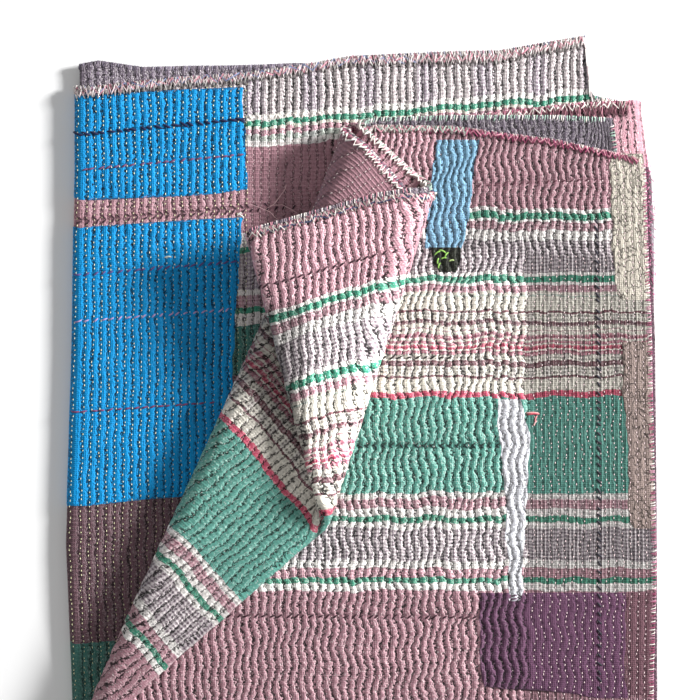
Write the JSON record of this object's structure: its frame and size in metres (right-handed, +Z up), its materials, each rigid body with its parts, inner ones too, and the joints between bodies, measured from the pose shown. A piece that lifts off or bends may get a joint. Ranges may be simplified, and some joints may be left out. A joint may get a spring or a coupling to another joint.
{
  "type": "kantha quilt",
  "caption": "Hand-quilted patched cotton quilt, folded in layers with its top corner turned over and folded back.",
  "frame": {"origin": "middle of the bundle's footprint, on its underside", "axes": "+Z up, +Y along the quilting towards the end hems, +X towards the side hems of the top panel"},
  "size_m": [0.3826, 0.5458, 0.0556],
  "materials": {
    "quilt_cotton": "matt, soft, washed cotton with running stitch"
  },
  "bodies": {
    "root": {"quilt_cloth": "quilt_cotton"}
  },
  "joints": []
}
